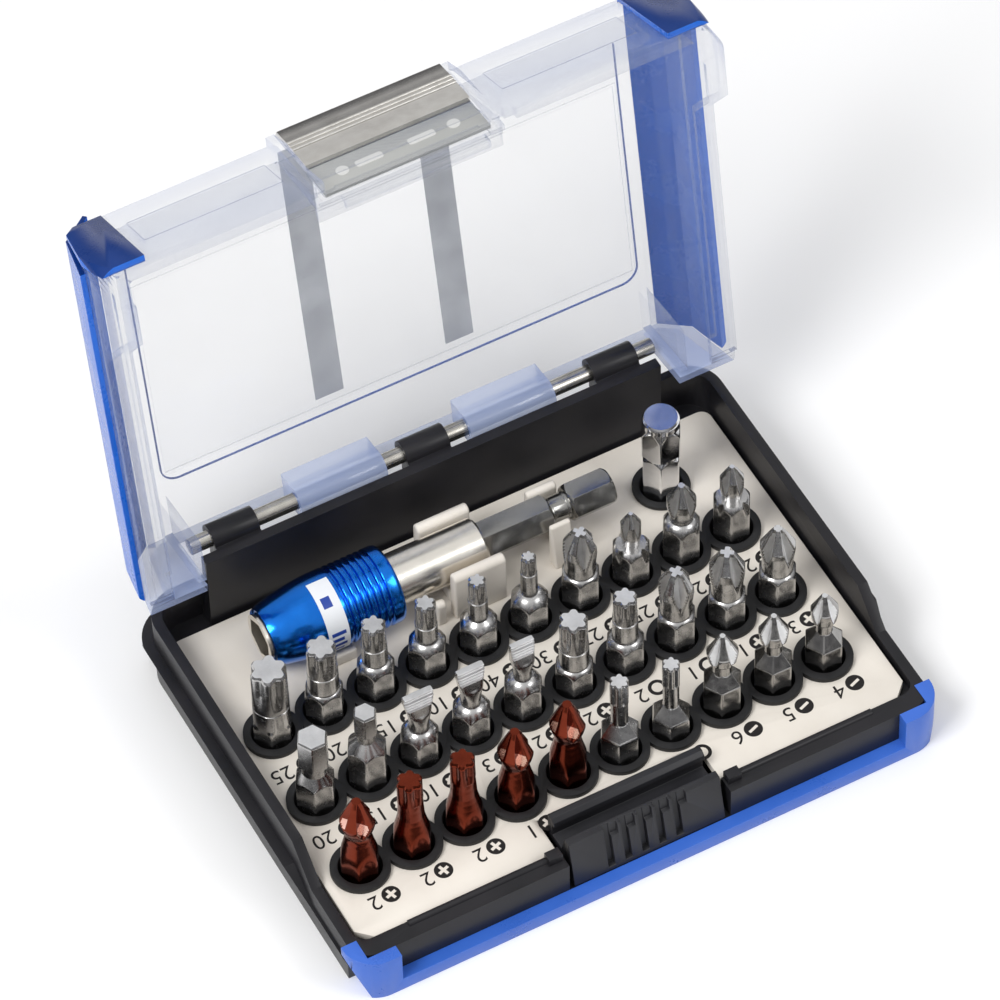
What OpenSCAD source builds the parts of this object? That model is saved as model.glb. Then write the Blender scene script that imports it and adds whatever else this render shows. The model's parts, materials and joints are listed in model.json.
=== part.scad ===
// Pocket screwdriver bit set: hinged case with a clear lid, a bit tray,
// a quick-change bit holder and thirty-one removable bits.
// Origin: centre of the case's underside. X right, Y to the hinge, Z up.

/* [Case base] */
// Half width across the outside ledge
base_half_w = 57.7; // [50:0.1:65]
// Half width at the underside
foot_half_w = 54.6; // [48:0.1:60]
// Half width across the raised lip
lip_half_w = 55.8; // [48:0.1:60]
// Half width inside the lip
inner_half_w = 53.9; // [46:0.1:58]
// Front face of the case
base_front_y = -40.3; // [-50:0.1:-36]
// Rear face of the case
base_rear_y = 42.5; // [38:0.1:50]
// Thickness of the floor
floor_t = 1.8; // [1:0.1:3]
// Height of the lip along the sides
lip_z = 16.2; // [12:0.1:20]
// Height of the lip at the front
lip_front_z = 9.9; // [8:0.1:12]
// Height of the outside ledge along the sides
ledge_z = 10; // [8:0.1:12]
// Height of the outside ledge at the front
ledge_front_z = 5.5; // [4:0.1:8]
// Where the lip starts to step down
step_rear_y = -17; // [-20:0.1:-12]
// Where the lip has stepped down
step_front_y = -23.5; // [-28:0.1:-20]

/* [Hinge] */
// Distance of the hinge line behind the centre
hinge_y = 40.6; // [36:0.1:45]
// Height of the hinge line
hinge_z = 25.2; // [20:0.1:30]
// Radius of the hinge rod
rod_r = 1.5; // [1:0.1:2]
// Radius of the knuckles
knuckle_r = 2.5; // [2.2:0.1:3]
// Opening angle of the lid as modelled
lid_open = 98.7; // [0:0.1:110]

/* [Lid] */
// Half width of the lid at its rim
lid_half_w = 57.3; // [52:0.1:62]
// Height of the lid's top above the hinge line
lid_top = 7.5; // [6:0.1:10]
// Height of the inside of the window above the hinge line
lid_inside = 4.8; // [4:0.1:8]
// Reach of the rim in front of the hinge line
lid_reach = 79.3; // [70:0.1:90]

/* [Bits] */
// Distance between bits along a row
pitch_x = 10; // [9:0.1:12]
// Distance between rows
pitch_y = 16; // [12:0.1:20]
// Position of the front row
front_row_y = -23; // [-28:0.1:-18]
// Left end of the rows
first_x = -46.3; // [-50:0.1:-40]
// Width across the flats of a bit
hex_af = 6.35; // [4:0.01:8]
// Radius of the sockets
socket_r = 3.85; // [3.7:0.01:4.5]
// Outside radius of the socket rings
ring_r = 5.2; // [4.5:0.1:6]
// Height of the socket rings
ring_z = 10; // [8:0.1:12]

/* [Tray] */
// Height of the tray's face
tray_z = 9; // [7:0.1:11]
// Thickness of the tray
tray_t = 1.6; // [1:0.1:3]

/* [Bit holder] */
// Height of the holder's axis
holder_z = 16.7; // [14:0.1:20]
// Position of the holder's axis
holder_y = 23; // [18:0.1:28]
// Outside radius of the sleeve
sleeve_r = 7.15; // [6:0.05:8]
// Outside radius of the steel body
body_r = 4.75; // [4:0.05:5.5]

/* [Release catch] */
// Half width of the catch
catch_half_w = 14.6; // [12:0.1:18]
// How far the catch is pressed in to let the lid go
catch_stroke = 1.2; // [1:0.1:2]

/* [Hidden] */
$fn = 64;
eps = 0.01;
hex_r = hex_af / 2 / cos(30);
seat_z = floor_t + 0.4;
adapter_x = 37.6;
adapter_y = 23.2;
rear_wall_y = 35.7;
rear_wall_half_w = 44.6;
rear_wall_z = 25.3;
panel_half_w = 48.7;
bumper_t = 2.3;
lean = 15.4;

// ---------------------------------------------------------------- helpers

// A rectangle with round corners, radius r0 at the front and r1 at the rear.
module plan(half_w, y0, y1, r0, r1) {
  translate([-half_w, y0 + r0]) square([2 * half_w, y1 - y0 - r0 - r1]);
  translate([-half_w + r0, y0]) square([2 * (half_w - r0), r0 + 1]);
  translate([-half_w + r1, y1 - r1 - 1]) square([2 * (half_w - r1), r1 + 1]);
  for (s = [-1, 1]) {
    translate([s * (half_w - r0), y0 + r0]) circle(r0);
    translate([s * (half_w - r1), y1 - r1]) circle(r1);
  }
}

// A slab whose outline is drawn in Y and Z and which runs along X.
module along_x(half_w) {
  rotate([90, 0, 90]) linear_extrude(height = 2 * half_w, center = true) children();
}

// A slab whose outline is drawn in X and Z and which runs along Y.
module along_y(y0, y1) {
  translate([0, y1, 0]) rotate([90, 0, 0]) linear_extrude(height = y1 - y0) children();
}

module box(x0, x1, y0, y1, z0, z1) {
  translate([x0, y0, z0]) cube([x1 - x0, y1 - y0, z1 - z0]);
}

module both_sides() {
  children();
  mirror([1, 0, 0]) children();
}

// ------------------------------------------------------------------- base

module front_cut(rear_z, front_z, shift) {
  polygon([[-60, -1], [60, -1], [60, rear_z], [step_rear_y + shift, rear_z],
    [step_front_y + shift, front_z], [-60, front_z]]);
}

module bumper_zone() {
  box(-70, 70, -60, base_front_y, -1, 3);
  both_sides() box(panel_half_w, 70, -60, base_front_y, -1, 12);
  both_sides() box(54, 70, -60, -36.2, -1, 12);
}

module base_shell() {
  color([0.07, 0.07, 0.08]) {
    case_body();
    catch_guides();
  }
}

module case_body() {
  difference() {
    union() {
      // Lower walls, which lean in towards the underside
      intersection() {
        linear_extrude(height = 30) plan(base_half_w, base_front_y, base_rear_y, 4.2, 8);
        along_x(60) front_cut(ledge_z, ledge_front_z, 0);
        along_y(-60, 60) polygon([[-foot_half_w, 0], [foot_half_w, 0],
          [base_half_w, ledge_z], [base_half_w, 20], [-base_half_w, 20],
          [-base_half_w, ledge_z]]);
      }
      // Lip that the lid closes on
      intersection() {
        linear_extrude(height = 30)
          plan(lip_half_w, base_front_y, base_rear_y - 1.9, 4.2, 6.5);
        along_x(60) front_cut(lip_z, lip_front_z, 0);
      }
      // Tall wall under the hinge
      box(-rear_wall_half_w, rear_wall_half_w, rear_wall_y, 37.7, 1, rear_wall_z);
      // Beads and end posts along the front wall
      both_sides() {
        translate([16.4, -37.3, lip_front_z - 0.35]) rotate([0, 90, 0])
          cylinder(r = 0.85, h = 28.4);
        box(16, 18.6, -38.8, -33.4, 2, 11.6);
      }
      // Knuckles
      hinge_blocks();
      for (x0 = [-41.6, -4.2, 32.9])
        translate([x0, hinge_y, hinge_z]) rotate([0, 90, 0])
          cylinder(r = knuckle_r, h = x0 == -4.2 ? 8.4 : 8.7);
    }
    // Inside of the case
    difference() {
      translate([0, 0, floor_t]) linear_extrude(height = 40)
        plan(51.9, -35.4, 34.2, 2, 2);
      box(-60, 60, 30, 60, 7.4, 60);
    }
    difference() {
      translate([0, 0, tray_z - tray_t]) linear_extrude(height = 40)
        plan(inner_half_w, -36.9, 39.1, 2.5, 5);
      box(-rear_wall_half_w, rear_wall_half_w, rear_wall_y, 60, 0, 60);
    }
    // Pocket behind the tall wall
    box(-42, 42, 38.7, 40.3, 3.4, 22);
    // Room for the catch, the posts stay
    box(-15.6, 15.6, -60, -28.9, 2.8, 30);
    // Bore for the hinge rod
    translate([-50, hinge_y, hinge_z]) rotate([0, 90, 0])
      cylinder(r = rod_r + 0.02, h = 100);
    bumper_zone();
  }
}

module hinge_blocks() {
  for (x = [[-41.6, -32.9], [-4.2, 4.2], [32.9, 41.6]])
    box(x[0], x[1], 36.5, hinge_y, 21.4, rear_wall_z);
}

// Stop wall behind the catch, and the pin that its spring sits on.
module catch_guides() {
  box(-15.6, 15.6, -30.1, -28.9, 1, 6.4);
  translate([0, -30.3, 4.4]) rotate([90, 0, 0]) cylinder(r = 0.7, h = 1.5);
}

module front_bumper() {
  color([0.16, 0.33, 0.78]) difference() {
    intersection() {
      linear_extrude(height = ledge_z) plan(56.9, -42.6, 0, 6, 2);
      bumper_zone();
      along_y(-60, 0) polygon([[-54.2, 0], [54.2, 0], [56.9, 8], [56.9, 11],
        [-56.9, 11], [-56.9, 8]]);
    }
    // Core taken by the black base
    intersection() {
      linear_extrude(height = 20) plan(54.4, base_front_y, 0, 4.4, 2);
      box(-54, 54, -60, 0, -1, 20);
      box(-60, 60, base_front_y, 0, -1, 20);
    }
  }
}

// ------------------------------------------------------------------- tray

module socket_places(y) {
  for (c = [0:9]) translate([first_x + c * pitch_x, y, 0]) children();
}

module bit_tray() {
  color([0.86, 0.82, 0.77]) difference() {
    translate([0, 0, tray_z - tray_t]) linear_extrude(height = tray_t) difference() {
      plan(53.2, -36.6, 34.9, 2, 2);
      for (r = [0:2]) socket_places(front_row_y + r * pitch_y) circle(ring_r - 0.35);
      translate([adapter_x, adapter_y]) circle(ring_r - 0.35);
      // Notch for the catch
      translate([-15.7, -40]) square([31.4, 11.2]);
    }
    // Front corners are cut off
    both_sides() translate([53.2, -36.6, 0]) rotate([0, 0, 45])
      cube([4, 4, 40], center = true);
  }
}

// A clip with a rounded top, standing on the tray.
module clip(x0, x1, y0, y1, top) {
  r = (y1 - y0) / 2;
  translate([(x0 + x1) / 2, 0, 0]) along_x((x1 - x0) / 2) {
    translate([y0, tray_z]) square([y1 - y0, top - r - tray_z]);
    translate([y0 + r, top - r]) circle(r);
  }
}

// Clips and supports of the bit holder, which stand on the tray.
module holder_clips() {
  color([0.86, 0.82, 0.77]) {
    clip(-7.6, 2.6, 28.4, 30.6, 19.4);
    clip(-7.4, 2.7, 15.2, 17.4, 20.2);
    clip(-10.8, -9, 15.4, 17.2, 14.6);
    clip(13.2, 19, 27, 28.8, 17.4);
    // Wedge in front of the shank
    translate([14.8, 0, 0]) along_x(2)
      polygon([[16.2, tray_z], [18.9, tray_z], [18.9, 18.8], [17.9, 18.8], [17, 14]]);
    // Supports under the steel body and under the neck of the shank
    box(-6.6, 1, 19, 27, tray_z, holder_z - body_r - 0.2);
    box(15.8, 17.5, 20.6, 25.4, tray_z, holder_z - 2.7);
    // Cradle under the sleeve
    for (s = [-1, 1]) translate([-29, holder_y, 0]) along_x(3)
      polygon([[s * 3.6, tray_z], [s * 6.6, tray_z], [s * 6.6, 11.6], [s * 5.6, 11.5], [s * 3.6, 9.9]]);
  }
}

module socket_strip(y) {
  color([0.09, 0.09, 0.1]) difference() {
    union() {
      socket_places(y) {
        translate([0, 0, tray_z]) cylinder(r = ring_r, h = ring_z - tray_z);
        translate([0, 0, floor_t]) cylinder(r = ring_r - 0.55, h = tray_z - floor_t);
      }
      // Web that joins the sockets into one strip
      box(first_x, first_x + 9 * pitch_x, y - 1.2, y + 1.2, floor_t, tray_z - tray_t - 0.2);
    }
    socket_places(y) translate([0, 0, seat_z]) cylinder(r = socket_r, h = 20);
  }
}

module socket_strip_back() { socket_strip(front_row_y + 2 * pitch_y); }
module socket_strip_middle() { socket_strip(front_row_y + pitch_y); }
module socket_strip_front() { socket_strip(front_row_y); }

module adapter_collar() {
  color([0.09, 0.09, 0.1]) translate([adapter_x, adapter_y, 0]) difference() {
    union() {
      translate([0, 0, tray_z]) cylinder(r = ring_r, h = ring_z - tray_z);
      translate([0, 0, floor_t]) cylinder(r = ring_r - 0.55, h = tray_z - floor_t);
    }
    translate([0, 0, seat_z]) cylinder(r = socket_r, h = 20);
  }
}

// ------------------------------------------------------------------ hinge

module hinge_rod() {
  color([0.75, 0.74, 0.72]) translate([-45.5, hinge_y, hinge_z]) rotate([0, 90, 0])
    cylinder(r = rod_r, h = 91);
}

// ------------------------------------------------------------------ catch

module release_catch() {
  color([0.06, 0.06, 0.07]) difference() {
    along_x(catch_half_w) polygon([[-40.3, 3.2], [-38.2, 12.5], [-36.7, 12.5],
      [-35.6, 8.6], [-32.4, 8.6], [-32.4, 11.2], [-33.2, 11.4], [-33, 12.3],
      [-32.2, 13], [-31.2, 13], [-30.8, 12.6], [-30.8, 6.8], [-31.4, 6.4],
      [-34.8, 6.4], [-38.4, 3.2]]);
    // Finger slots in the front plate, wider at the top
    for (i = [0:4]) translate([-7.3 + i * 3.3, 0, 0]) {
      along_x(0.65) polygon([[-42, 4], [-39, 4], [-37.1, 12.7], [-42, 12.7]]);
      translate([0.75, 0, 0]) along_x(1.3) polygon([[-42, 10.3], [-37.9, 10.3], [-37.3, 12.7], [-42, 12.7]]);
    }
    // Seat for the spring
    translate([0, -33, 4.4]) rotate([90, 0, 0]) cylinder(r = 1.6, h = 1.6);
  }
}

module catch_spring() {
  color([0.7, 0.7, 0.7]) translate([0, -30.2, 4.4]) rotate([90, 0, 0]) difference() {
    cylinder(r = 1.3, h = 4.6);
    translate([0, 0, -1]) cylinder(r = 0.95, h = 8);
  }
}

// -------------------------------------------------------------------- lid

// Puts what is drawn for the closed lid, seen from the hinge line, in place.
module lid_place() {
  translate([0, hinge_y, hinge_z]) rotate([-lid_open, 0, 0]) children();
}

lid_low = lip_z - hinge_z + 0.2;
lid_low_front = lip_front_z - hinge_z + 0.5;
step0 = hinge_y - step_rear_y;
step1 = hinge_y - step_front_y;

// Side view of the lid, drawn with -Y towards the front.
module lid_side(top, front_top, front_low, rear, drop) {
  polygon([[-rear, top], [-rear, lid_low - drop], [-step0, lid_low - drop],
    [-step1, lid_low_front - drop], [-front_low, lid_low_front - drop],
    [-front_top, top - 2], [-front_top + 1.2, top]]);
}

module lid_body() {
  intersection() {
    along_x(60) lid_side(lid_top, 73.6, lid_reach, -3.2, 0.9);
    along_y(-90, 10) polygon([[-lid_half_w, -20], [lid_half_w, -20], [lid_half_w, -9],
      [55.2, 3.3], [50.3, lid_top], [-50.3, lid_top], [-55.2, 3.3], [-lid_half_w, -9]]);
    translate([0, 0, -20]) linear_extrude(height = 40) plan(lid_half_w, -lid_reach, 10, 5, 1);
  }
}

module lid_hollow() {
  intersection() {
    along_x(60) polygon([[1.4, lid_inside], [1.4, -20], [-77.4, -20], [-77.4, -16],
      [-71.9, 3.8], [-70.9, lid_inside]]);
    along_y(-90, 4.5) polygon([[-52.6, -21], [52.6, -21], [52.6, -8], [53.7, -7],
      [51.9, 2.6], [49, lid_inside], [-49, lid_inside], [-51.9, 2.6], [-53.7, -7],
      [-52.6, -8]]);
    translate([0, 0, -22]) linear_extrude(height = 40) plan(53.7, -77.4, 10, 3.2, 1);
  }
}

// Groove in the rim that the lip of the base goes into.
module rim_groove() {
  both_sides() intersection() {
    box(53.7, 56, -90, 12, -30, 10);
    along_x(60) polygon([[12, -30], [12, lid_low], [-step0 - 0.7, lid_low],
      [-step1 - 0.7, lid_low_front], [-72.8, lid_low_front], [-72.8, -30]]);
  }
}

// Room for the front wall of the base, its posts and its rear corners.
module front_rim_cut() {
  rim = lip_front_z + 0.8 - hinge_z;
  box(-56, 56, -90, -72.4, -30, rim);
  box(-60, 60, -90, -76.4, -30, rim);
  box(-19, 19, -90, -72.4, -30, rim + 1.5);
  both_sides() box(52.3, 56, -5.6, 12, -30, lid_low);
}

module lid_shell() {
  color([0.86, 0.9, 0.96, 0.35]) lid_place() difference() {
    union() {
      difference() {
        lid_body();
        lid_hollow();
        rim_groove();
        front_rim_cut();
        // Rear corners are rounded about the hinge line
        both_sides() difference() {
          box(44, 60, -0.5, 12, -30, 20);
          along_x(61) union() {
            circle(8.8);
            translate([-1, 0]) square([4.2, 8]);
          }
        }
        // The middle of the rear edge is a plain plate
        box(-46.3, 46.3, -8, 12, -30, lid_inside);
        // Gap in the front wall for the release catch
        box(-17.4, 17.4, -90, -74, -30, -12);
        // Recess for the latch panel
        box(-15.6, 15.6, -90, -75.2, -30, 3);
        // Sunken channels in the front wall
        both_sides() translate([0, -75.1, 0]) rotate([-lean, 0, 0])
          box(20.5, 46, -4, 0.2, -6.6, 1.2);
      }
      // Inner wall of each hinge ear
      both_sides() difference() {
        box(46.3, 47.9, -9, 0, lid_low, lid_inside + 1);
        difference() {
          box(44, 60, -1, 12, -30, 20);
          along_x(61) circle(8.8);
        }
      }
      // Knuckles
      both_sides() {
        translate([8.2, 0, 0]) rotate([0, 90, 0]) cylinder(r = knuckle_r + 0.3, h = 16.8);
        box(8.2, 25, -2.6, 2.6, 0.5, lid_top - 0.5);
      }
      latch_block();
    }
    // Seats of the latch plate, its panel and the corner guards
    latch_plate_shape();
    latch_insert_shape();
    both_sides() bumper_side();
    // Bore that turns on the rod
    translate([-30, 0, 0]) rotate([0, 90, 0]) cylinder(r = rod_r + 0.06, h = 60);
    // Outline of the window
    difference() {
      box(-46.2, 46.2, -57.2, -13.4, lid_inside - 1, lid_inside + 0.3);
      box(-45.6, 45.6, -56.6, -14, lid_inside - 2, lid_inside + 2);
    }
  }
}

// Solid part of the lid that carries the latch plate and the hook.
module latch_block() {
  along_x(17.2) polygon([[-70.5, lid_inside], [-70.5, lid_top], [-74.2, lid_top],
    [-74.2, 6.4], [-74.2, -4.2], [-74.2, -12], [-72.6, -12], [-72.6, 3]]);
  both_sides() translate([16.4, 0, 0]) along_x(0.8) polygon([[-72, lid_top], [-74.4, lid_top],
    [-76.2, 2.2], [-76.4, -4.6], [-77.9, -11.4], [-72, -11.4]]);
  // Shelf above the catch
  box(-17.2, 17.2, -74.2, -69.8, -11.6, -10.4);
  // Hook with its tooth
  along_x(13.4) polygon([[-75.4, -10.6], [-75.4, -15.4], [-74.3, -15.4], [-73.2, -14.5],
    [-73.4, -14.05], [-74.2, -14.05], [-74.2, -10.6]]);
  both_sides() box(13.4, 17.2, -75.4, -74.2, -13, -11);
}

module bumper_side() {
  // Corner block
  intersection() {
    linear_extrude(height = 30, center = true) plan(57.9, -80, 10, 5.4, 1);
    box(panel_half_w, 70, -90, -66, -12.7, 6);
    difference() {
      along_x(70) polygon([[-60, 6], [-60, -20], [-80.2, -20], [-80.2, -14.6], [-74.6, 5.4],
        [-73.6, 6.5]]);
      along_x(70) polygon([[-60, 6], [-60, -20], [-79.4, -20], [-79.4, -17.2], [-73.7, 5.5],
        [-72.5, 6.5]]);
    }
    along_y(-90, 0) polygon([[40, -20], [57.9, -20], [57.9, -9], [55.8, 3.7], [50.9, 8.1],
      [40, 8.1]]);
  }
  // Strip on the chamfer
  intersection() {
    along_y(-73.6, 3.2) polygon([[50.35, lid_top], [50.9, lid_top + 0.6], [56, 3.9],
      [57.6, -5], [56.65, -5], [55.25, 3.3]]);
    translate([0, 0, -20]) linear_extrude(height = 40) plan(57.9, -73.6, 3.2, 0.5, 3);
  }
}

module lid_bumper_right() {
  color([0.13, 0.3, 0.75]) lid_place() bumper_side();
}

module lid_bumper_left() {
  color([0.13, 0.3, 0.75]) lid_place() mirror([1, 0, 0]) bumper_side();
}

module latch_plate_shape() {
  along_x(15.4) polygon([[-74.25, 7.4], [-75.1, 6.5], [-75.95, 1.9], [-75.95, -4.2],
    [-74.25, -4.2]]);
}

module latch_plate() {
  color([0.72, 0.72, 0.7]) lid_place() latch_plate_shape();
}

module latch_insert_shape() {
  box(-15.4, 15.4, -75, -74.25, -11.4, -4.3);
}

module latch_insert() {
  color([0.8, 0.81, 0.8, 0.7]) lid_place() latch_insert_shape();
}

module lid_bands() {
  color([0.72, 0.73, 0.76, 0.6]) lid_place() both_sides()
    box(10, 15.4, -70, -13, lid_top, lid_top + 0.25);
}

// ----------------------------------------------------------------- holder

// Puts what is drawn along Z with the nose at the origin onto the tray.
module holder_place() {
  translate([-41.3, holder_y, holder_z]) rotate([0, 90, 0]) children();
}

module ring_solid(r_out, r_in, z0, z1) {
  translate([0, 0, z0]) difference() {
    cylinder(r = r_out, h = z1 - z0);
    translate([0, 0, -1]) cylinder(r = r_in, h = z1 - z0 + 2);
  }
}

module holder_body() {
  color([0.78, 0.76, 0.72]) holder_place() difference() {
    union() {
      cylinder(r = body_r - 0.25, h = 26);
      translate([0, 0, 25]) cylinder(r = body_r, h = 17.2);
      translate([0, 0, 42.2]) cylinder(r1 = body_r, r2 = body_r - 0.5, h = 0.5);
    }
    // Socket for the bits
    translate([0, 0, -1]) cylinder(r = hex_r + 0.15, h = 17.4, $fn = 6);
    // Ball holes
    translate([0, 0, 5]) rotate([0, 90, 0]) cylinder(r = 0.85, h = 16, center = true);
    // Seat of the shank
    translate([0, 0, 24]) cylinder(r = 3.2, h = 30);
    // Grooves for the retaining rings
    ring_solid(8, 4.2, 1.2, 2);
    ring_solid(8, 4.2, 18.8, 19.6);
    // Bore of the magnet
    translate([0, 0, 15]) cylinder(r = 2.6, h = 5);
  }
}

module holder_shank() {
  color([0.3, 0.3, 0.3]) holder_place() intersection() {
    union() {
      translate([0, 0, 24.1]) cylinder(r = 3.1, h = 20);
      translate([0, 0, 42.9]) rotate([0, 0, 30]) cylinder(r = hex_r, h = 13.4, $fn = 6);
      translate([0, 0, 56]) cylinder(r = 2.45, h = 4);
      translate([0, 0, 59.8]) rotate([0, 0, 30]) cylinder(r = hex_r, h = 8.6, $fn = 6);
    }
    union() {
      cylinder(r = hex_r + 0.1, h = 55.4);
      translate([0, 0, 55.4]) cylinder(r1 = hex_r + 0.1, r2 = 2.35, h = 1.4);
      translate([0, 0, 56.7]) cylinder(r = 2.36, h = 2.6);
      translate([0, 0, 59.2]) cylinder(r1 = 2.35, r2 = hex_r + 0.1, h = 1.4);
      translate([0, 0, 60.6]) cylinder(r = hex_r + 0.1, h = 6.8);
      translate([0, 0, 67.4]) cylinder(r1 = hex_r + 0.1, r2 = 3, h = 1);
    }
  }
}

module holder_sleeve() {
  color([0.05, 0.25, 0.7]) holder_place() difference() {
    rotate_extrude() polygon([[body_r + 0.05, 0.4], [5.1, 0.3], [6.2, 4.2], [6.9, 9],
      [sleeve_r, 13], [sleeve_r, 14.4], [6.7, 14.8], [6.7, 15.2], [sleeve_r, 15.6],
      [6.7, 16.1], [6.7, 16.4], [sleeve_r, 16.9], [6.7, 17.4], [6.7, 17.7],
      [sleeve_r, 18.2], [6.7, 18.7], [6.7, 19], [sleeve_r, 19.5], [6.7, 20],
      [6.7, 20.3], [sleeve_r, 20.8], [6.7, 21.3], [6.7, 21.6], [sleeve_r, 22.1],
      [sleeve_r, 24.2], [6.8, 25], [body_r + 0.05, 25]]);
    // Room for the spring and the balls
    ring_solid(5.9, 3, 6.2, 22.4);
    ring_solid(5.2, 3, 0, 2.4);
  }
}

module sleeve_label() {
  color([0.93, 0.93, 0.92]) holder_place() intersection() {
    ring_solid(sleeve_r + 0.12, sleeve_r + 0.02, 9.9, 13.8);
    box(-20, 3.2, -9, 1.4, 0, 40);
  }
}

module retaining_ring() {
  color([0.6, 0.6, 0.58]) holder_place() {
    ring_solid(5, 4.25, 1.3, 1.9);
    ring_solid(5.6, 4.25, 18.9, 19.5);
  }
}

module sleeve_spring() {
  color([0.7, 0.7, 0.7]) holder_place() ring_solid(5.6, 4.9, 6.4, 18.7);
}

module lock_balls() {
  color([0.8, 0.8, 0.8]) holder_place() for (s = [-1, 1])
    translate([s * 3.93, 0, 5]) sphere(r = 0.8);
}

module holder_magnet() {
  color([0.35, 0.35, 0.36]) holder_place() translate([0, 0, 16.5]) cylinder(r = 2.5, h = 3.4);
}

// ------------------------------------------------------------------- bits

// A hexagon rod with chamfered ends, standing on the origin.
module hex_rod(h, cut) {
  intersection() {
    cylinder(r = hex_r, h = h, $fn = 6);
    union() {
      cylinder(r1 = hex_r - 0.7, r2 = hex_r + 0.05, h = 0.75);
      translate([0, 0, 0.7]) cylinder(r = hex_r + 0.05, h = h - 0.7 - cut);
      translate([0, 0, h - cut - 0.05]) cylinder(r1 = hex_r + 0.05, r2 = hex_r - 1.2, h = cut + 0.05);
    }
  }
}

module star_outline(r) {
  difference() {
    union() {
      circle(r * 0.86);
      for (i = [0:5]) rotate([0, 0, i * 60]) translate([r * 0.8, 0]) circle(r * 0.2);
    }
    for (i = [0:5]) rotate([0, 0, 30 + i * 60]) translate([r * 1.06, 0]) circle(r * 0.27);
  }
}

// Six-lobed bit: hexagon, round shoulder, neck and tip. l is the whole length.
module star_bit(l, r, shoulder, tip) {
  neck = min(r * 1.02, 3.1);
  hex_h = l - shoulder;
  hex_rod(hex_h, 0.9);
  translate([0, 0, hex_h - 1]) cylinder(r1 = 3.15, r2 = neck, h = 2.8);
  cylinder(r = neck, h = l - tip);
  linear_extrude(height = l) star_outline(r);
}

// Cross-head bit; arms is the radius of the body that the flutes are cut in.
module cross_bit(l, arms, shoulder, point) {
  hex_h = l - shoulder;
  hex_rod(hex_h, 0.9);
  translate([0, 0, hex_h - 1.2]) cylinder(r1 = 3.15, r2 = arms * 0.86, h = 2.4);
  difference() {
    intersection() {
      union() {
        cylinder(r = arms * 0.86, h = l - 6);
        translate([0, 0, l - 8]) cylinder(r1 = arms * 0.86, r2 = arms, h = 2.2);
        translate([0, 0, l - 5.85]) cylinder(r = arms, h = 6);
      }
      cylinder(r1 = point + l * tan(27), r2 = point, h = l);
    }
    for (i = [0:3]) rotate([0, 0, 45 + i * 90]) translate([arms * 0.3, 0, l - 6.5])
      rotate([0, 8, 0]) translate([0, 0, -0.5]) rotate([0, 0, -45]) cube([9, 9, 12]);
  }
}

module slot_bit(l, w, t) {
  hex_h = 11.2;
  hex_rod(hex_h, 0.9);
  translate([0, 0, hex_h - 1]) cylinder(r1 = 3.15, r2 = 1.7, h = 3.4);
  cylinder(r = 1.7, h = l - 6);
  intersection() {
    translate([0, 0, l - 8]) linear_extrude(height = 8) square([w, 8], center = true);
    along_y(-4, 4) polygon([[-1.2, l - 8], [1.2, l - 8], [w / 2, l - 1], [w / 2, l],
      [-w / 2, l], [-w / 2, l - 1]]);
    along_x(6) polygon([[-1.1, l - 8], [1.1, l - 8], [t / 2, l], [-t / 2, l]]);
  }
}

module hex_key_bit(l, af) {
  hex_rod(l - 8, 0.6);
  translate([0, 0, l - 9]) rotate([0, 0, 30]) cylinder(r = af / 2 / cos(30), h = 9, $fn = 6);
}

// Slim bit that gives under load: waisted below the tip.
module waist_flare(l) {
  hex_rod(l - 15.4, 0.4);
  intersection() {
    rotate_extrude() polygon([[0, l - 17], [3.6, l - 17], [3.6, l - 15], [2.9, l - 12.6],
      [2.25, l - 9.4], [2, l - 6.4], [2, l - 5], [0, l - 5]]);
    cylinder(r = hex_r, h = l, $fn = 6);
  }
}

module waist_star_bit(l, r) {
  waist_flare(l);
  linear_extrude(height = l) star_outline(r);
}

module waist_cross_bit(l, arms) {
  waist_flare(l);
  difference() {
    intersection() {
      translate([0, 0, l - 8]) cylinder(r = arms, h = 8);
      translate([0, 0, l - 8]) cylinder(r1 = 0.9 + 8 * tan(27), r2 = 0.9, h = 8);
      translate([0, 0, l - 8]) cylinder(r1 = 2, r2 = 6, h = 8);
    }
    for (i = [0:3]) rotate([0, 0, 45 + i * 90]) translate([arms * 0.3, 0, l - 6.2])
      rotate([0, 8, 0]) translate([0, 0, -0.5]) rotate([0, 0, -45]) cube([9, 9, 12]);
  }
}

// Puts a bit into its socket; its flats face the front.
module bit_place(column, row) {
  translate([first_x + (column - 1) * pitch_x, front_row_y + row * pitch_y, seat_z])
    children();
}

// Length of a bit whose tip stands h above the ring.
function bit_l(h) = h + ring_z - seat_z;

module steel() { color([0.62, 0.62, 0.61]) children(); }
module copper() { color([0.5, 0.2, 0.13]) children(); }

module square_adapter() {
  steel() translate([adapter_x, adapter_y, seat_z]) {
    hex_rod(17.2, 0.9);
    translate([0, 0, 17.1]) cylinder(r = 2.75, h = 1.9);
    translate([0, 0, 18.9]) cylinder(r1 = 3.4, r2 = 3.6, h = 1.6);
    translate([0, 0, 20.4]) cylinder(r = 3.6, h = 2.2);
    translate([0, 0, 22.6]) cylinder(r1 = 3.6, r2 = 3.05, h = 4.2);
  }
}

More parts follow.
